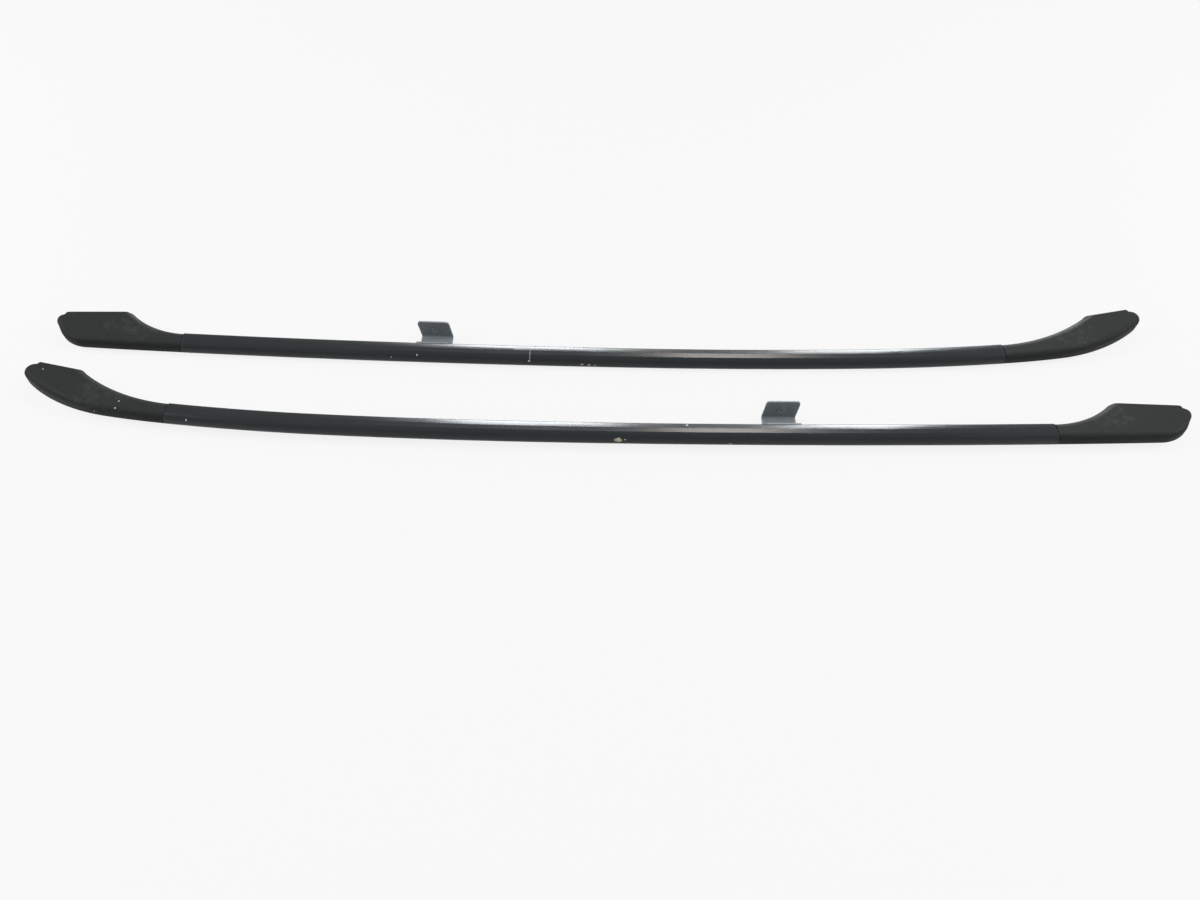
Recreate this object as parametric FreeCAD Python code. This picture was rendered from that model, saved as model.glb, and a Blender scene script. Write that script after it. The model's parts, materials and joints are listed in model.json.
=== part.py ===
import FreeCAD, Part
import math
import os

V = FreeCAD.Vector

# Bar section: round crown, flat flanks that curve in toward the underside
bar_width = 23.0
bar_height = 31.0
bar_wall = 2.0
crown_radius = 9.5
flank_radius = 31.5
flank_turn = 18.0
under_radius = 5.0

# Bow of the bar: three tangent arcs, measured from the rear end of the rail
apex_at = 950.0
rear_seam_at = 194.0
rear_bow_radius = 19200.0
mid_bow_radius = 9600.0
mid_bow_length = 350.0
front_bow_radius = 3500.0
front_bow_length = 241.0
station_pitch = 45.0

# Rear foot, side view: distance from the rear end, depth below the apex of the bar
rear_crown_turn = (32.0, 7.0)
rear_end_turn = (-13.0, 33.5)
rear_corner_turn = (-23.0, 48.5)
rear_base_start = (99.0, 69.2)
rear_base_slope = -1.4

# Front foot, side view
front_crown_turn = (1640.0, 22.2)
front_nose_turn = (1782.0, 90.0)
front_base_start = (1686.0, 95.3)
front_base_slope = 13.0

# Both feet
foot_draft = 4.0
foot_under_radius = 10.5
rim_kink = 9.0
seam_groove = 1.2
seam_depth = 1.2
spigot_length = 45.0
spigot_clearance = 0.2
rim_width = 4.2
pocket_depth = 18.0
pocket_inset = 13.0
pocket_corner = 6.0
rib_thickness = 3.0
boss_radius = 8.0
insert_radius = 5.0
insert_length = 14.0
insert_groove = 0.7
insert_groove_length = 4.0
insert_margin = 23.0
thread_radius = 2.5
thread_depth = 11.0
gasket_thickness = 2.0
gasket_inset = 2.0
gasket_corner = 7.5

# Screw that holds each spigot in the bar
screw_offset = 25.0
screw_radius = 2.0
screw_depth = 12.0
screw_hole_clearance = 0.2
screw_seat = 0.4
screw_head_radius = 3.4
screw_head_height = 2.4
screw_socket = 1.5
screw_socket_depth = 1.3

# Bracket under the middle of the bar
bracket_at = 606.0
bracket_length = 52.0
bracket_lean = 4.5
bracket_thickness = 2.5
bracket_bend = 2.5
bracket_web_face = -10.6
bracket_lip = 8.0
bracket_reach = 23.0
bracket_drop = 47.0
bracket_corner = 6.0
bracket_seat = 0.4
rivet_pitch = 30.0
rivet_radius = 2.4
rivet_head_radius = 4.4
rivet_head_height = 1.3
rivet_bulb_radius = 3.5
rivet_bulb_height = 4.0
nut_across = 6.4
nut_collar_radius = 5.8
nut_collar_height = 2.2
nut_shank_radius = 4.4
pad_thickness = 2.0
pad_margin = 4.0
pad_hole_radius = 6.5

# Rest of the two rails on the ground
left_roll = 6.0
right_roll = 0.0
rail_gap = 171.6
rail_stagger = 136.4


def frame(point, turn):
    return FreeCAD.Placement(point, FreeCAD.Rotation(V(0, 1, 0), turn))


def placed(shape, place):
    moved = shape.copy()
    moved.Placement = place.multiply(moved.Placement)
    return moved


def box(size_x, size_y, size_z, corner):
    return Part.makeBox(size_x, size_y, size_z, corner)


def section(skin):
    """Face of the bar's section, skin inside its outline."""
    turn = math.radians(flank_turn)
    half_width = bar_width / 2
    half_height = bar_height / 2
    crown_centre = V(0, half_width - crown_radius, half_height - crown_radius)
    reach = flank_radius - under_radius
    under_z = under_radius - half_height
    flank_centre = V(0, half_width - flank_radius, under_z + reach * math.sin(turn))
    under_centre = V(0, flank_centre.y + reach * math.cos(turn), under_z)

    def corner(centre, radius, first, last):
        angles = [first, (first + last) / 2, last]
        points = [centre + V(0, math.cos(a), math.sin(a)) * (radius - skin) for a in angles]
        return Part.Arc(*points).toShape()

    quarter = math.pi / 2
    arcs = [
        corner(crown_centre, crown_radius, quarter, 0),
        corner(flank_centre, flank_radius, 0, -turn),
        corner(under_centre, under_radius, -turn, -quarter),
    ]
    side = [arcs[0], Part.makeLine(arcs[0].lastVertex().Point, arcs[1].firstVertex().Point), arcs[1], arcs[2]]
    other = [edge.mirror(V(0, 0, 0), V(0, 1, 0)) for edge in side]
    ends = [arcs[0].firstVertex().Point, arcs[2].lastVertex().Point]
    caps = [Part.makeLine(end, V(0, -end.y, end.z)) for end in ends]
    return Part.Face(Part.Wire(Part.__sortEdges__(side + other + caps)))


def bow_frame(distance):
    """Frame on the bar's axis, distance forward of the apex, Z to the crown."""
    if distance <= 0:
        turn = distance / rear_bow_radius
        point = V(apex_at + rear_bow_radius * math.sin(turn), 0, -rear_bow_radius * (1 - math.cos(turn)))
        return frame(point, math.degrees(turn))
    turn = min(distance, mid_bow_length) / mid_bow_radius
    point = V(apex_at + mid_bow_radius * math.sin(turn), 0, -mid_bow_radius * (1 - math.cos(turn)))
    rest = distance - mid_bow_length
    if rest <= 0:
        return frame(point, math.degrees(turn))
    centre = point - V(math.sin(turn), 0, math.cos(turn)) * front_bow_radius
    turn = turn + rest / front_bow_radius
    return frame(centre + V(math.sin(turn), 0, math.cos(turn)) * front_bow_radius, math.degrees(turn))


def bowed(face, start, length):
    """Solid with the face as its section, along the bow from start."""
    steps = max(2, math.ceil(abs(length) / station_pitch))
    sections = [placed(face.OuterWire, bow_frame(start + length * i / steps)) for i in range(steps + 1)]
    return Part.makeLoft(sections, True, False)


rear_seam = rear_seam_at - apex_at
front_seam = mid_bow_length + front_bow_length


def make_bar():
    length = front_seam - rear_seam
    return bowed(section(0), rear_seam, length).cut(bowed(section(bar_wall), rear_seam, length))


def tangent_arc(start, heading, end):
    """Arc in the side view that leaves start along heading, and its heading at end."""
    chord = end.sub(start)
    normal = V(-heading.z, 0, heading.x)
    radius = chord.dot(chord) / (2 * chord.dot(normal))
    centre = start + normal * radius
    out = (start - centre) + (end - centre)
    mid = centre + out.normalize() * abs(radius)
    unit = chord.normalize()
    return Part.Arc(start, mid, end).toShape(), unit * (2 * heading.dot(unit)) - heading


def base_end(point, aim, base_near, inward):
    """Where the end rounding that leaves point along aim comes down on the base line."""
    kink = math.radians(rim_kink)
    roofward = V(-inward.z, 0, inward.x)
    if roofward.z > 0:
        roofward = roofward * -1
    chord = aim + inward * math.cos(kink) + roofward * math.sin(kink)
    length = (base_near - point).cross(inward).y / chord.cross(inward).y
    return point + chord * length


def side_point(pair):
    return V(pair[0], 0, -pair[1])


def edges_along(solid, guide):
    """Edges of the solid on its two flanks that follow a guide line of the side view."""
    found = []
    for edge in solid.Edges:
        low, high = edge.ParameterRange
        points = [edge.valueAt(low + (high - low) * f) for f in (0.05, 0.5, 0.95)]
        flank = min(abs(p.y) for p in points) > bar_width / 4
        on_guide = all(Part.Vertex(V(p.x, 0, p.z)).distToShape(guide)[0] < 0.001 for p in points)
        if flank and on_guide:
            found.append(edge)
    return found


def slot_block(length, half_width, corner, low, high):
    block = box(length, 2 * half_width, high - low, V(-length / 2, -half_width, low))
    upright = [e for e in block.Edges if abs(e.tangentAt(e.FirstParameter).z) > 0.9]
    return block.makeFillet(corner, upright)


def turned(profile, place):
    """Solid of revolution about Z from (radius, height) corners, axis first and last."""
    points = [V(r, 0, z) for r, z in profile]
    face = Part.Face(Part.makePolygon(points + [points[0]]))
    return placed(face.revolve(V(0, 0, 0), V(0, 0, 1), 360), place)


def insert_envelope(place):
    neck = insert_radius - insert_groove
    low = (insert_length - insert_groove_length) / 2
    high = low + insert_groove_length
    profile = [(0, 0), (insert_radius, 0), (insert_radius, low), (neck, low), (neck, high)]
    profile += [(insert_radius, high), (insert_radius, insert_length), (0, insert_length)]
    return turned(profile, place)


def thread_bore(place, depth):
    tip = depth + thread_radius / 2
    return turned([(0, 0), (thread_radius, 0), (thread_radius, depth), (0, tip)], place)


def make_foot(seam, outward, crown_points, base_near, base_slope):
    """One end foot with what is fitted to it; outward is -1 at the rear and 1 at the front."""
    place = bow_frame(seam)
    heading = place.Rotation.multVec(V(outward, 0, 0))
    crown_start = place.multVec(V(0, 0, bar_height / 2))
    under_start = place.multVec(V(0, 0, -bar_height / 2))
    crown = []
    start = crown_start
    aim = heading
    for point in crown_points:
        arc, aim = tangent_arc(start, aim, point)
        crown.append(arc)
        start = point
    tilt = math.radians(base_slope)
    inward = V(-outward * math.cos(tilt), 0, math.sin(tilt))
    base_far = base_end(start, aim, base_near, inward)
    crown.append(tangent_arc(start, aim, base_far)[0])
    arch, aim = tangent_arc(under_start, heading, base_near)
    closing = [Part.makeLine(base_far, base_near), Part.makeLine(under_start, crown_start)]
    outline = Part.Face(Part.Wire(Part.__sortEdges__(crown + [arch] + closing)))
    reach = 4 * bar_width
    blank = placed(outline, frame(V(0, -reach / 2, 0), 0)).extrude(V(0, reach, 0))

    # Flanks lean out toward the roof from the sides of the bar
    axis_z = place.Base.z
    top = bar_height
    low = min(base_near.z, base_far.z) - bar_height
    lean = math.tan(math.radians(foot_draft))
    span = []
    for z in (top, low):
        half = bar_width / 2 + (axis_z - z) * lean
        span.append((half, z))
    ends = [base_near.x, base_far.x, crown_start.x, under_start.x]
    x0 = min(ends) - reach
    wedge_length = max(ends) + reach - x0
    wedge_points = [V(x0, -span[0][0], top), V(x0, span[0][0], top), V(x0, span[1][0], low)]
    wedge_points += [V(x0, -span[1][0], low), V(x0, -span[0][0], top)]
    wedge = Part.Face(Part.makePolygon(wedge_points)).extrude(V(wedge_length, 0, 0))
    body = blank.common(wedge).Solids[0]
    body = body.makeFillet(crown_radius, edges_along(body, Part.Wire(crown)))
    body = body.makeFillet(foot_under_radius, edges_along(body, arch))

    # Narrow groove at the seam, and the spigot that enters the bar
    neck = section(seam_depth).extrude(V(outward * seam_groove, 0, 0))
    slab_x = min(0, outward * seam_groove)
    slab = box(seam_groove, reach, reach, V(slab_x, -reach / 2, -reach / 2))
    body = body.cut(placed(slab.cut(neck), place))
    spigot = bowed(section(bar_wall + spigot_clearance), seam, -outward * spigot_length)
    body = body.fuse(spigot)

    # Hollow of the underside with two bosses on a middle rib
    base_middle = (base_near + base_far) * 0.5
    base_line = (base_far - base_near) * outward
    slope = math.degrees(math.atan2(-base_line.z, base_line.x))
    base = frame(base_middle, slope)
    base_length = (base_far - base_near).Length
    half_base = bar_width / 2 + (axis_z - base_middle.z) * lean
    pocket_length = base_length - 2 * pocket_inset
    pocket = slot_block(pocket_length, half_base - rim_width, pocket_corner, 0, pocket_depth)
    boss_x = base_length / 2 - insert_margin
    seats = [V(-boss_x, 0, 0), V(boss_x, 0, 0)]
    for seat in seats:
        pocket = pocket.cut(Part.makeCylinder(boss_radius, pocket_depth, seat))
    pocket = pocket.cut(box(pocket_length, rib_thickness, pocket_depth, V(-pocket_length / 2, -rib_thickness / 2, 0)))
    body = body.cut(placed(pocket, base))
    seat_frames = [base.multiply(frame(seat, 0)) for seat in seats]
    plugs = [insert_envelope(f) for f in seat_frames]
    body = body.cut(plugs)
    inserts = [plug.cut(thread_bore(f, thread_depth)) for plug, f in zip(plugs, seat_frames)]

    ring = slot_block(base_length - 2 * gasket_inset - pocket_inset / 2, half_base - gasket_inset,
                      gasket_corner, -gasket_thickness, 0)
    window = slot_block(pocket_length, half_base - rim_width, pocket_corner, -gasket_thickness, 0)
    gasket = placed(ring.cut(window), base)

    # Screw from the underside through the bar wall into the spigot
    screw_frame = bow_frame(seam - outward * screw_offset)
    under = -bar_height / 2 + screw_seat
    profile = [(0, under - screw_head_height), (screw_head_radius, under - screw_head_height)]
    profile += [(screw_head_radius, under), (screw_radius, under), (screw_radius, under + screw_depth)]
    profile += [(0, under + screw_depth + screw_radius)]
    screw = turned(profile, screw_frame)
    body = body.cut(screw)
    hexagon = [V(screw_socket * math.cos(i * math.pi / 3), screw_socket * math.sin(i * math.pi / 3),
                 under - screw_head_height) for i in range(7)]
    socket = Part.Face(Part.makePolygon(hexagon)).extrude(V(0, 0, screw_socket_depth))
    screw = screw.cut(placed(socket, screw_frame))
    hole = Part.makeCylinder(screw_radius + screw_hole_clearance, 2 * bar_wall, V(0, 0, under - bar_wall / 2))
    hole = placed(hole, screw_frame)
    return body, Part.makeCompound(inserts), gasket, screw, hole.fuse(screw)


def make_bracket():
    """Bent bracket with its rivets, pressed nut and pad, in the bar's own frame."""
    place = bow_frame(bracket_at - apex_at)
    t = bracket_thickness
    top = -bar_height / 2 + bracket_seat
    foot = -bracket_drop
    back = bracket_web_face - t
    long = 2 * bracket_length
    x0 = -bracket_length
    lip = box(long, bracket_lip - back, t, V(x0, back, top - t))
    web = box(long, t, top - foot + t, V(x0, back, foot - t))
    flange = box(long, bracket_reach - back, t, V(x0, back, foot - t))
    strip = lip.fuse([web, flange]).removeSplitter()

    def bend_edges(y, levels):
        chosen = []
        for e in strip.Edges:
            c = e.CenterOfMass
            along = abs(e.tangentAt(e.FirstParameter).x) > 0.9
            if along and abs(c.y - y) < 0.01 and min(abs(c.z - z) for z in levels) < 0.01:
                chosen.append(e)
        return chosen

    strip = strip.makeFillet(bracket_bend + t, bend_edges(back, (top, foot - t)))
    strip = strip.makeFillet(bracket_bend, bend_edges(bracket_web_face, (top - t, foot)))
    half = bracket_length / 2
    plan = [V(-half, back, -2 * bracket_drop), V(half, back, -2 * bracket_drop)]
    plan += [V(half - bracket_lean, bracket_reach, -2 * bracket_drop)]
    plan += [V(-half - bracket_lean, bracket_reach, -2 * bracket_drop)]
    die = Part.Face(Part.makePolygon(plan + [plan[0]])).extrude(V(0, 0, 2 * bracket_drop))
    rounded = []
    for e in die.Edges:
        upright = abs(e.tangentAt(e.FirstParameter).z) > 0.9
        if upright and e.CenterOfMass.y > 0:
            rounded.append(e)
    strip = strip.common(die.makeFillet(bracket_corner, rounded))

    rivets = []
    for x in (-rivet_pitch / 2, rivet_pitch / 2):
        head = top - t
        blind = -bar_height / 2 + bar_wall
        profile = [(0, head - rivet_head_height), (rivet_head_radius, head - rivet_head_height)]
        profile += [(rivet_head_radius, head), (rivet_radius, head), (rivet_radius, blind)]
        profile += [(rivet_bulb_radius, blind), (rivet_bulb_radius, blind + rivet_bulb_height)]
        profile += [(0, blind + rivet_bulb_height)]
        rivets.append(turned(profile, frame(V(x, 0, 0), 0)))

    nut_x = -bracket_lean / 2
    nut_place = frame(V(nut_x, nut_across, foot), 0)
    profile = [(thread_radius, -t), (nut_shank_radius, -t), (nut_shank_radius, 0), (nut_collar_radius, 0)]
    profile += [(nut_collar_radius, nut_collar_height), (thread_radius, nut_collar_height)]
    nut = turned(profile, nut_place)
    nut_core = Part.makeCylinder(nut_shank_radius, t, V(nut_x, nut_across, foot - t))
    strip = strip.cut(rivets + [nut_core])

    pad_length = bracket_length - 2 * pad_margin
    pad_half = (bracket_reach - bracket_web_face) / 2 - pad_margin
    pad_mid = (bracket_reach + bracket_web_face) / 2
    pad = slot_block(pad_length, pad_half, bracket_corner, -pad_thickness, 0)
    pad.translate(V(nut_x, pad_mid, foot - t))
    pad = pad.cut(Part.makeCylinder(pad_hole_radius, pad_thickness, V(nut_x, nut_across, foot - t - pad_thickness)))
    shapes = {"bracket": strip, "rivets": Part.makeCompound(rivets), "nut": nut, "pad": pad}
    return {name: placed(shape, place) for name, shape in shapes.items()}


def make_rail():
    """All pieces of one rail, X forward, Y to the outer side, Z to the crown."""
    rear_crown = [side_point(turn) for turn in (rear_crown_turn, rear_end_turn, rear_corner_turn)]
    front_crown = [side_point(turn) for turn in (front_crown_turn, front_nose_turn)]
    rear = make_foot(rear_seam, -1, rear_crown, side_point(rear_base_start), rear_base_slope)
    front = make_foot(front_seam, 1, front_crown, side_point(front_base_start), front_base_slope)
    fixing = make_bracket()
    bar = make_bar().cut([rear[4], front[4], fixing["bracket"]] + fixing["rivets"].Solids)
    pieces = {"bar": bar}
    for end, made in (("rear", rear), ("front", front)):
        pieces[end + "_foot"] = made[0]
        pieces[end + "_inserts"] = made[1]
        pieces[end + "_gasket"] = made[2]
        pieces[end + "_spigot_screw"] = made[3]
    pieces["center_bracket"] = fixing["bracket"]
    pieces["bracket_rivets"] = fixing["rivets"]
    pieces["bracket_nut"] = fixing["nut"]
    pieces["bracket_pad"] = fixing["pad"]
    return pieces


def lowest(shapes):
    return min(shape.optimalBoundingBox(False, False).ZMin for shape in shapes.values())


def laid(pieces, roll, side_x, y):
    """Rail on its inner side on the ground, crown toward -Y; side_x -1 mirrors it."""
    tip = FreeCAD.Placement(V(0, 0, 0), FreeCAD.Rotation(V(1, 0, 0), 90 + roll))
    middle = FreeCAD.Placement(V(-apex_at, 0, 0), FreeCAD.Rotation())
    down = {name: placed(shape, tip.multiply(middle)) for name, shape in pieces.items()}
    if side_x < 0:
        down = {name: shape.mirror(V(0, 0, 0), V(1, 0, 0)) for name, shape in down.items()}
    drop = lowest(down)
    move = FreeCAD.Placement(V(side_x * rail_stagger / 2, y, -drop), FreeCAD.Rotation())
    return {name: placed(shape, move) for name, shape in down.items()}


rail = make_rail()
nodes = {}
for prefix, roll, side_x, y in (("left_", left_roll, 1, rail_gap), ("right_", right_roll, -1, 0)):
    for name, shape in laid(rail, roll, side_x, y).items():
        nodes[prefix + name] = shape

whole = Part.makeCompound(list(nodes.values())).optimalBoundingBox(False, False)
centring = FreeCAD.Placement(V(-whole.Center.x, -whole.Center.y, 0), FreeCAD.Rotation())

os.makedirs("parts", exist_ok=True)
for name, shape in nodes.items():
    placed(shape, centring).exportStep("parts/" + name + ".step")
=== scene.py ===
import json
import math
import bpy
from mathutils import Matrix, Vector


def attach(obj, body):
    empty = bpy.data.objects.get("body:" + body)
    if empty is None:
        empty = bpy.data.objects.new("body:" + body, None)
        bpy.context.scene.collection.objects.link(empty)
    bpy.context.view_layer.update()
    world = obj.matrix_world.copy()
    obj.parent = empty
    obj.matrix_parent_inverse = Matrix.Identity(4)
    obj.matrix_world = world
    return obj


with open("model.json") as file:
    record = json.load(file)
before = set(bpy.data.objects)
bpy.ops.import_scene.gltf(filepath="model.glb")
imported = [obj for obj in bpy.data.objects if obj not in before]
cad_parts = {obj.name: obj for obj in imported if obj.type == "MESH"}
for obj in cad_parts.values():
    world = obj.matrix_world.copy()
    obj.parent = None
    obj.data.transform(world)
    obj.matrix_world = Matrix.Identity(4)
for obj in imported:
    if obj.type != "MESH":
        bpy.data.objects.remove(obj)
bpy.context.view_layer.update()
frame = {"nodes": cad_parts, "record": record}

# Camera, from the perspective of the photograph (image 1200 x 900)
FOCAL_PX = 901.0
IMAGE_WIDTH = 1200.0
SENSOR_MM = 36.0
CAMERA_AT = Vector((0.00367, -1.04754, 1.01988))
CAMERA_RIGHT = Vector((0.99982163, 0.01564433, 0.01058115))
CAMERA_UP = Vector((-0.01873992, 0.75204417, 0.65884625))

# Floor: half its side and its drop in metres, its colour, and the share of plain white that the camera sees
FLOOR_HALF = 8.0
FLOOR_DROP = 0.0003
FLOOR_COLOUR = (0.74, 0.74, 0.735, 1)
FLOOR_WHITE = 0.85
WORLD_COLOUR = (0.94, 0.96, 1.0, 1)
WORLD_STRENGTH = 0.42
WHITE = (1.0, 1.0, 1.0)
COOL = (0.93, 0.97, 1.0)
WARM = (1.0, 0.94, 0.88)
# Softboxes: name, centre, target, width, height, watts, colour, shows in gloss only
LIGHTS = [
    ("side_left", (-3.3, 0.1, 2.2), (-0.3, 0.0, 0.0), 1.6, 1.6, 66.0, WHITE, False),
    ("side_right", (3.3, 0.1, 2.2), (0.3, 0.0, 0.0), 1.6, 1.6, 66.0, WHITE, False),
    ("rim_left", (-0.27, 1.75, 0.89), (-0.1, 0.0, 0.02), 0.6, 0.95, 72.0, COOL, True),
    ("rim_right", (0.94, 1.75, 0.89), (0.4, 0.0, 0.02), 0.42, 0.95, 48.0, COOL, True),
    ("middle_low", (0.39, 1.8, 0.85), (0.15, 0.0, 0.02), 0.63, 0.9, 4.0, COOL, True),
    ("middle_high", (0.42, 1.05, 1.38), (0.18, -0.05, 0.02), 0.42, 0.42, 14.0, WARM, True),
]

# Marks of wear: centre and half sizes in metres
MM = 0.001
LEFT_CHIPS = [((-0.1175, 0.0209, 0.0157), (1.8 * MM, 3 * MM, 1.6 * MM)),
              ((-0.2991, 0.0256, 0.0200), (1.4 * MM, 2 * MM, 1.2 * MM)),
              ((-0.3418, 0.0243, 0.0157), (1.1 * MM, 2 * MM, 1.0 * MM))]
LEFT_TAN = [((-0.0316, 0.0203, 0.0107), (3.0 * MM, 3 * MM, 1.6 * MM)),
            ((-0.0202, 0.0204, 0.0098), (2.6 * MM, 3 * MM, 2.0 * MM)),
            ((-0.0105, 0.0205, 0.0088), (2.0 * MM, 3 * MM, 1.3 * MM))]
LEFT_LINES = [((-0.1162, 0.0285, 0.0190), (0.7 * MM, 14 * MM, 10 * MM))]
RIGHT_CHIPS = [((0.1303, -0.1262, 0.0286), (2.0 * MM, 2.4 * MM, 2 * MM)),
               ((0.1955, -0.1496, 0.0145), (2.6 * MM, 2 * MM, 0.8 * MM)),
               ((-0.6227, -0.1308, 0.0241), (1.3 * MM, 1.3 * MM, 2 * MM))]
RIGHT_TAN = [((0.0271, -0.1513, 0.0201), (6.5 * MM, 4 * MM, 4.2 * MM)),
             ((0.0375, -0.1508, 0.0211), (1.4 * MM, 3 * MM, 1.4 * MM))]
FOOT_SPECKS = [((-0.8727, -0.0377, 0.0345), (1.4 * MM,) * 3), ((-0.7345, -0.1129, 0.0285), (1.6 * MM,) * 3),
               ((-0.7326, -0.0997, 0.0302), (1.5 * MM,) * 3), ((-0.7706, -0.1114, 0.0194), (1.2 * MM,) * 3)]
ARCH_DUST = (45 * MM, 30 * MM, 30 * MM)

# Cap in the bracket nut: sides, place along the bore, and turned profile as radius and rise
CAP_SIDES = 32
CAP_SHIFT = 1.2 * MM
CAP_PROFILE = [(0.0, -0.0002), (0.0009, -0.00025), (0.0018, -0.0005),
               (0.00248, -0.0006), (0.00252, 0.0005), (0.0, 0.0005)]

# Places of the two colour sockets on a Mix node
MIX_A = 6
MIX_B = 7


def make_camera():
    data = bpy.data.cameras.new("camera")
    data.sensor_fit = "HORIZONTAL"
    data.sensor_width = SENSOR_MM
    data.lens = FOCAL_PX / IMAGE_WIDTH * SENSOR_MM
    data.clip_end = 50.0
    obj = bpy.data.objects.new("camera", data)
    back = CAMERA_RIGHT.cross(CAMERA_UP)
    turn = Matrix((CAMERA_RIGHT, CAMERA_UP, back)).transposed().to_4x4()
    obj.matrix_world = Matrix.Translation(CAMERA_AT) @ turn
    bpy.context.scene.collection.objects.link(obj)
    bpy.context.scene.camera = obj


class Build:
    """Small helper that adds nodes to one material."""

    def __init__(self, name):
        self.mat = bpy.data.materials.new(name)
        self.mat.use_nodes = True
        self.tree = self.mat.node_tree
        self.bsdf = self.tree.nodes["Principled BSDF"]
        self.coord = self.add("ShaderNodeTexCoord").outputs["Object"]

    def add(self, kind, **settings):
        node = self.tree.nodes.new(kind)
        for key, value in settings.items():
            setattr(node, key, value)
        return node

    def link(self, source, target):
        if hasattr(source, "is_linked"):
            self.tree.links.new(source, target)
        else:
            target.default_value = source

    def math(self, operation, a, b=0.0, clamp=False):
        node = self.add("ShaderNodeMath", operation=operation, use_clamp=clamp)
        self.link(a, node.inputs[0])
        self.link(b, node.inputs[1])
        return node.outputs[0]

    def vector(self, operation, a, b):
        node = self.add("ShaderNodeVectorMath", operation=operation)
        self.link(a, node.inputs[0])
        self.link(b, node.inputs[1])
        return node.outputs["Value"] if operation in ("LENGTH", "DOT_PRODUCT") else node.outputs[0]

    def ramp(self, value, low, high, out_low=0.0, out_high=1.0):
        node = self.add("ShaderNodeMapRange", clamp=True, interpolation_type="SMOOTHSTEP")
        self.link(value, node.inputs["Value"])
        node.inputs["From Min"].default_value = low
        node.inputs["From Max"].default_value = high
        node.inputs["To Min"].default_value = out_low
        node.inputs["To Max"].default_value = out_high
        return node.outputs[0]

    def noise(self, scale, detail=3.0, rough=0.55, stretch=(1, 1, 1), shift=(0, 0, 0)):
        place = self.vector("MULTIPLY", self.coord, stretch)
        place = self.vector("ADD", place, shift)
        node = self.add("ShaderNodeTexNoise")
        self.tree.links.new(place, node.inputs["Vector"])
        node.inputs["Scale"].default_value = scale
        node.inputs["Detail"].default_value = detail
        node.inputs["Roughness"].default_value = rough
        return node.outputs["Fac"]

    def mix(self, factor, a, b):
        node = self.add("ShaderNodeMix", data_type="RGBA")
        self.link(factor, node.inputs["Factor"])
        self.link(a, node.inputs[MIX_A])
        self.link(b, node.inputs[MIX_B])
        return node.outputs[2]

    def spot(self, centre, size, ragged=0.35):
        """Mask of one ragged mark: centre and half sizes in metres."""
        place = self.vector("SUBTRACT", self.coord, centre)
        place = self.vector("DIVIDE", place, size)
        length = self.vector("LENGTH", place, (0, 0, 0))
        ripple = self.noise(1.6 / min(size), detail=2.0)
        ripple = self.math("MULTIPLY", self.math("SUBTRACT", ripple, 0.5), ragged * 3)
        length = self.math("ADD", length, ripple)
        return self.ramp(length, 0.75, 1.05, 1.0, 0.0)

    def any_of(self, masks):
        total = masks[0]
        for mask in masks[1:]:
            total = self.math("MAXIMUM", total, mask)
        return total

    def edge_wear_and_seam_shade(self, radius, gain):
        """Mask of convex edges from the bevelled normal, used for worn edges and for the painted shade at the bar's
        seams.
        """
        bevel = self.add("ShaderNodeBevel", samples=4)
        bevel.inputs["Radius"].default_value = radius
        plain = self.add("ShaderNodeNewGeometry").outputs["Normal"]
        dot = self.vector("DOT_PRODUCT", bevel.outputs[0], plain)
        return self.ramp(dot, 1.0 - gain, 1.0, 1.0, 0.0)

    def bump(self, layers):
        normal = None
        for height, distance, strength in layers:
            node = self.add("ShaderNodeBump")
            node.inputs["Distance"].default_value = distance
            node.inputs["Strength"].default_value = strength
            self.tree.links.new(height, node.inputs["Height"])
            if normal is not None:
                self.tree.links.new(normal, node.inputs["Normal"])
            normal = node.outputs[0]
        self.tree.links.new(normal, self.bsdf.inputs["Normal"])

    def surface(self, colour, roughness, **constants):
        self.link(colour, self.bsdf.inputs["Base Color"])
        self.link(roughness, self.bsdf.inputs["Roughness"])
        for name, value in constants.items():
            self.bsdf.inputs[name.replace("_", " ")].default_value = value
        return self.mat


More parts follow.
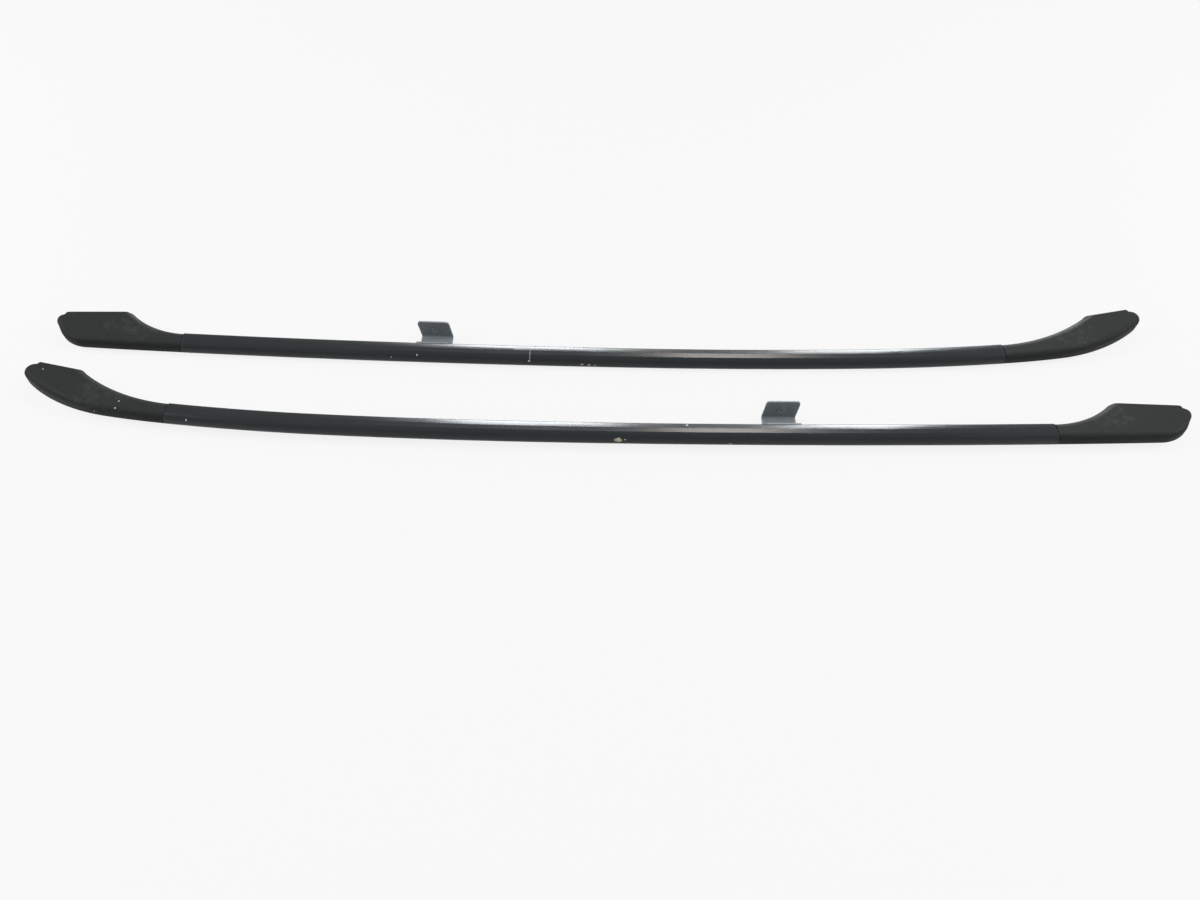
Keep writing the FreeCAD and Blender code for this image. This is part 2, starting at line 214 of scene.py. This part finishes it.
def bar_paint(name, chips, tan_chips, lines, shift):
    """Semi-gloss black paint over metal, with dust, hairline scratches and chips, and painted shade along the bar's end
    edges at the seams.
    """
    b = Build(name)
    tone = b.noise(14.0, 4.0, stretch=(0.35, 1, 1), shift=shift)
    dust = b.ramp(b.noise(70.0, 6.0, 0.7, (0.25, 1, 1), shift), 0.52, 0.78)
    specks = b.ramp(b.noise(900.0, 2.0, 0.5, shift=shift), 0.72, 0.8)
    hair = b.ramp(b.noise(420.0, 3.0, 0.6, (0.05, 1.0, 1.0), shift), 0.66, 0.8)
    across = b.ramp(b.noise(260.0, 2.0, 0.6, (1.0, 0.06, 0.06), shift), 0.74, 0.84)
    colour = b.mix(tone, (0.0275, 0.031, 0.0325, 1), (0.039, 0.043, 0.0445, 1))
    colour = b.mix(b.math("MULTIPLY", dust, 0.2), colour, (0.075, 0.078, 0.076, 1))
    colour = b.mix(b.math("MULTIPLY", b.math("MAXIMUM", hair, across), 0.3), colour, (0.1, 0.1, 0.1, 1))
    colour = b.mix(b.math("MULTIPLY", specks, 0.3), colour, (0.16, 0.16, 0.15, 1))
    # Painted shade: a near-black line on the bar's convex end edges stands in for the shade in the seam gap between bar
    # and foot.
    seam_shade = b.edge_wear_and_seam_shade(0.0016, 0.05)
    colour = b.mix(b.math("MULTIPLY", seam_shade, 0.9), colour, (0.003, 0.003, 0.003, 1))
    bare = b.any_of([b.spot(c, s) for c, s in chips])
    colour = b.mix(bare, colour, (0.62, 0.63, 0.62, 1))
    tan = b.any_of([b.spot(c, s, 0.5) for c, s in tan_chips])
    colour = b.mix(tan, colour, b.mix(b.noise(500.0), (0.42, 0.36, 0.2, 1), (0.72, 0.68, 0.56, 1)))
    if lines:
        scored = b.any_of([b.spot(c, s, 0.12) for c, s in lines])
        colour = b.mix(b.math("MULTIPLY", scored, 0.75), colour, (0.42, 0.43, 0.43, 1))
        bare = b.math("MAXIMUM", bare, scored)
    marks = b.math("MAXIMUM", bare, tan)
    rough = b.math("ADD", b.ramp(tone, 0.3, 0.7, 0.2, 0.25), b.math("MULTIPLY", dust, 0.04))
    rough = b.math("ADD", rough, b.math("MULTIPLY", marks, 0.4), clamp=True)
    b.bump([(b.noise(1300.0, 2.0, shift=shift), 0.0002, 0.03),
            (b.noise(420.0, 3.0, 0.6, (0.05, 1, 1), shift), 0.0002, 0.015),
            (b.math("SUBTRACT", 1.0, marks), 0.0004, 0.5)])
    return b.surface(colour, rough, IOR=1.5, Specular_IOR_Level=0.15)


def foot_plastic(name, dusty, specks_at, shift):
    """Grained black moulding, greyed by use, with dust in the hollow of the arch."""
    b = Build(name)
    broad = b.noise(24.0, 5.0, 0.6, shift=shift)
    grain = b.add("ShaderNodeTexVoronoi", feature="F1")
    grain.inputs["Scale"].default_value = 950.0
    b.tree.links.new(b.coord, grain.inputs["Vector"])
    pits = grain.outputs["Distance"]
    fine = b.noise(1500.0, 3.0, shift=shift)
    colour = b.mix(broad, (0.0125, 0.0138, 0.0138, 1), (0.0185, 0.0204, 0.0202, 1))
    colour = b.mix(b.ramp(pits, 0.1, 0.5, 0.0, 0.35), colour, (0.032, 0.0345, 0.034, 1))
    scuff = b.ramp(b.noise(180.0, 6.0, 0.7, (1, 0.5, 1), shift), 0.6, 0.78)
    colour = b.mix(b.math("MULTIPLY", scuff, 0.16), colour, (0.13, 0.135, 0.13, 1))
    patches = b.any_of([b.spot(c, s, 0.6) for c, s in dusty])
    cloud = b.ramp(b.noise(90.0, 6.0, 0.7, shift=shift), 0.4, 0.72)
    colour = b.mix(b.math("MULTIPLY", b.math("MULTIPLY", patches, cloud), 0.16), colour, (0.16, 0.168, 0.16, 1))
    edge = b.math("MULTIPLY", b.edge_wear_and_seam_shade(0.0016, 0.06), b.ramp(b.noise(140.0, 4.0), 0.4, 0.62))
    colour = b.mix(b.math("MULTIPLY", edge, 0.55), colour, (0.15, 0.15, 0.145, 1))
    if specks_at:
        white = b.any_of([b.spot(c, s, 0.4) for c, s in specks_at])
        colour = b.mix(b.math("MULTIPLY", white, 0.85), colour, (0.5, 0.5, 0.47, 1))
    rough = b.ramp(broad, 0.3, 0.7, 0.56, 0.68)
    b.bump([(pits, 0.0003, 0.22), (fine, 0.0002, 0.16)])
    return b.surface(colour, rough, IOR=1.48, Specular_IOR_Level=0.15)


def bracket_coat(name, shift):
    """Matte grey-black coating on pressed sheet steel, rubbed and slightly rusty at the edges."""
    b = Build(name)
    broad = b.noise(60.0, 5.0, 0.6, shift=shift)
    fine = b.noise(700.0, 4.0, 0.65, shift=shift)
    colour = b.mix(broad, (0.19, 0.212, 0.225, 1), (0.262, 0.288, 0.302, 1))
    rub = b.ramp(b.noise(240.0, 5.0, 0.7, (1, 0.3, 0.3), shift), 0.58, 0.75)
    colour = b.mix(b.math("MULTIPLY", rub, 0.4), colour, (0.28, 0.295, 0.3, 1))
    edge = b.math("MULTIPLY", b.edge_wear_and_seam_shade(0.0011, 0.08), b.ramp(fine, 0.4, 0.6))
    colour = b.mix(b.math("MULTIPLY", edge, 0.7), colour, (0.3, 0.29, 0.27, 1))
    rust = b.ramp(b.noise(130.0, 6.0, 0.75, shift=(3, 1, 2)), 0.66, 0.76)
    colour = b.mix(b.math("MULTIPLY", rust, 0.35), colour, (0.15, 0.07, 0.035, 1))
    rough = b.ramp(fine, 0.3, 0.7, 0.5, 0.66)
    b.bump([(fine, 0.0003, 0.18)])
    return b.surface(colour, rough, Metallic=0.0, IOR=1.5)


def plated(name, tint, rough_range):
    """Plated turned metal with fine circular marks and dull patches."""
    b = Build(name)
    dull = b.noise(260.0, 5.0, 0.65)
    fine = b.noise(1800.0, 3.0, 0.6, (1, 0.2, 1))
    dark = tuple(c * 0.55 for c in tint[:3]) + (1,)
    colour = b.mix(dull, dark, tint)
    colour = b.mix(b.ramp(b.noise(420.0, 4.0), 0.62, 0.75, 0.0, 0.4), colour, (0.2, 0.15, 0.1, 1))
    b.bump([(fine, 0.0002, 0.12)])
    return b.surface(colour, b.ramp(dull, 0.3, 0.7, *rough_range), Metallic=1.0)


def rubber(name):
    """Dull black rubber with chalky bloom."""
    b = Build(name)
    bloom = b.ramp(b.noise(120.0, 6.0, 0.7), 0.45, 0.75)
    colour = b.mix(b.math("MULTIPLY", bloom, 0.4), (0.012, 0.012, 0.0125, 1), (0.06, 0.06, 0.058, 1))
    b.bump([(b.noise(1400.0, 3.0), 0.0003, 0.25)])
    return b.surface(colour, b.ramp(bloom, 0.0, 1.0, 0.72, 0.88), IOR=1.45)


def dress(node, material):
    obj = frame["nodes"][node]
    for slot in obj.material_slots:
        slot.material = material
    if not obj.material_slots:
        obj.data.materials.append(material)


def make_materials():
    paints = {"left": bar_paint("bar_paint_left", LEFT_CHIPS, LEFT_TAN, LEFT_LINES, (0, 0, 0)),
              "right": bar_paint("bar_paint_right", RIGHT_CHIPS, RIGHT_TAN, [], (5.3, 1.7, 0.4))}
    feet = {
        "left_rear": foot_plastic("foot_left_rear", [((-0.775, 0.075, 0.03), ARCH_DUST)], [], (0, 0, 0)),
        "left_front": foot_plastic("foot_left_front", [((0.78, 0.095, 0.035), ARCH_DUST)], [], (2.2, 0, 1)),
        "right_rear": foot_plastic("foot_right_rear", [((0.775, -0.095, 0.03), ARCH_DUST)], [], (4.1, 2, 0)),
        "right_front": foot_plastic("foot_right_front", [((-0.77, -0.085, 0.03), ARCH_DUST)], FOOT_SPECKS, (0, 3.1, 2)),
    }
    coats = {"left": bracket_coat("bracket_coat_left", (0, 0, 0)),
             "right": bracket_coat("bracket_coat_right", (1.3, 4, 0))}
    zinc = plated("zinc_plate", (0.62, 0.63, 0.6, 1), (0.32, 0.5))
    rivet = plated("rivet_aluminium", (0.58, 0.59, 0.6, 1), (0.3, 0.48))
    seal = rubber("seal_rubber")
    for side in ("left", "right"):
        dress(side + "_bar", paints[side])
        dress(side + "_center_bracket", coats[side])
        dress(side + "_bracket_rivets", rivet)
        dress(side + "_bracket_nut", zinc)
        nut_cap(side, coats[side])
        dress(side + "_bracket_pad", seal)
        for end in ("rear", "front"):
            dress(side + "_" + end + "_foot", feet[side + "_" + end])
            dress(side + "_" + end + "_inserts", zinc)
            dress(side + "_" + end + "_spigot_screw", zinc)
            dress(side + "_" + end + "_gasket", seal)


def nut_cap(side, material):
    """Dished disc that closes the bracket nut's bore, turned about the bore's axis."""
    mount = next(m for m in frame["record"]["mounts"] if m["name"] == side + "_bracket_thread")
    axis = Vector(mount["axis"]).normalized()
    centre = Vector(mount["pos_m"]) - axis * CAP_SHIFT
    across = axis.orthogonal().normalized()
    over = axis.cross(across)
    verts, faces, rows = [], [], []
    for radius, rise in CAP_PROFILE:
        count = 1 if radius == 0.0 else CAP_SIDES
        rows.append(list(range(len(verts), len(verts) + count)))
        for i in range(count):
            turn = 2 * math.pi * i / CAP_SIDES
            verts.append(centre + axis * rise + (across * math.cos(turn) + over * math.sin(turn)) * radius)
    for lower, upper in zip(rows, rows[1:]):
        for i in range(CAP_SIDES):
            j = (i + 1) % CAP_SIDES
            ring = [lower[i % len(lower)], lower[j % len(lower)],
                    upper[j % len(upper)], upper[i % len(upper)]]
            faces.append(list(dict.fromkeys(ring)))
    mesh = bpy.data.meshes.new(side + "_nut_cap")
    mesh.from_pydata(verts, [], faces)
    mesh.materials.append(material)
    obj = bpy.data.objects.new(side + "_nut_cap", mesh)
    bpy.context.scene.collection.objects.link(obj)
    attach(obj, "root")


def make_floor():
    half = FLOOR_HALF
    mesh = bpy.data.meshes.new("floor")
    mesh.from_pydata([(-half, -half, 0), (half, -half, 0), (half, half, 0), (-half, half, 0)], [], [(0, 1, 2, 3)])
    obj = bpy.data.objects.new("floor", mesh)
    obj.location.z = -FLOOR_DROP
    bpy.context.scene.collection.objects.link(obj)
    mat = bpy.data.materials.new("floor")
    mat.use_nodes = True
    shade = mat.node_tree.nodes["Principled BSDF"]
    shade.inputs["Base Color"].default_value = FLOOR_COLOUR
    shade.inputs["Roughness"].default_value = 1.0
    shade.inputs["Specular IOR Level"].default_value = 0.0
    tree = mat.node_tree
    path = tree.nodes.new("ShaderNodeLightPath")
    seen = path.outputs["Is Camera Ray"]
    for kind in ("Is Glossy Ray", "Is Transmission Ray"):
        add = tree.nodes.new("ShaderNodeMath")
        add.operation = "MAXIMUM"
        tree.links.new(seen, add.inputs[0])
        tree.links.new(path.outputs[kind], add.inputs[1])
        seen = add.outputs[0]
    share = tree.nodes.new("ShaderNodeMath")
    share.operation = "MULTIPLY"
    share.inputs[1].default_value = FLOOR_WHITE
    tree.links.new(seen, share.inputs[0])
    white = tree.nodes.new("ShaderNodeEmission")
    white.inputs["Strength"].default_value = 1.0
    blend = tree.nodes.new("ShaderNodeMixShader")
    tree.links.new(share.outputs[0], blend.inputs[0])
    tree.links.new(shade.outputs[0], blend.inputs[1])
    tree.links.new(white.outputs[0], blend.inputs[2])
    tree.links.new(blend.outputs[0], tree.nodes["Material Output"].inputs["Surface"])
    mesh.materials.append(mat)


def area_light(name, centre, target, width, height, power, colour, gloss_only):
    data = bpy.data.lights.new(name, "AREA")
    data.shape = "RECTANGLE"
    data.size = width
    data.size_y = height
    data.energy = power
    data.color = colour
    obj = bpy.data.objects.new(name, data)
    obj.visible_diffuse = not gloss_only
    aim = (Vector(target) - Vector(centre)).normalized()
    obj.matrix_world = Matrix.Translation(centre) @ aim.to_track_quat("-Z", "Y").to_matrix().to_4x4()
    bpy.context.scene.collection.objects.link(obj)


def make_lights():
    world = bpy.data.worlds.new("studio")
    world.use_nodes = True
    shade = world.node_tree.nodes["Background"]
    shade.inputs["Color"].default_value = WORLD_COLOUR
    shade.inputs["Strength"].default_value = WORLD_STRENGTH
    bpy.context.scene.world = world
    for light in LIGHTS:
        area_light(*light)


make_camera()
make_materials()
make_floor()
make_lights()
view = bpy.context.scene.view_settings
view.view_transform = "Standard"
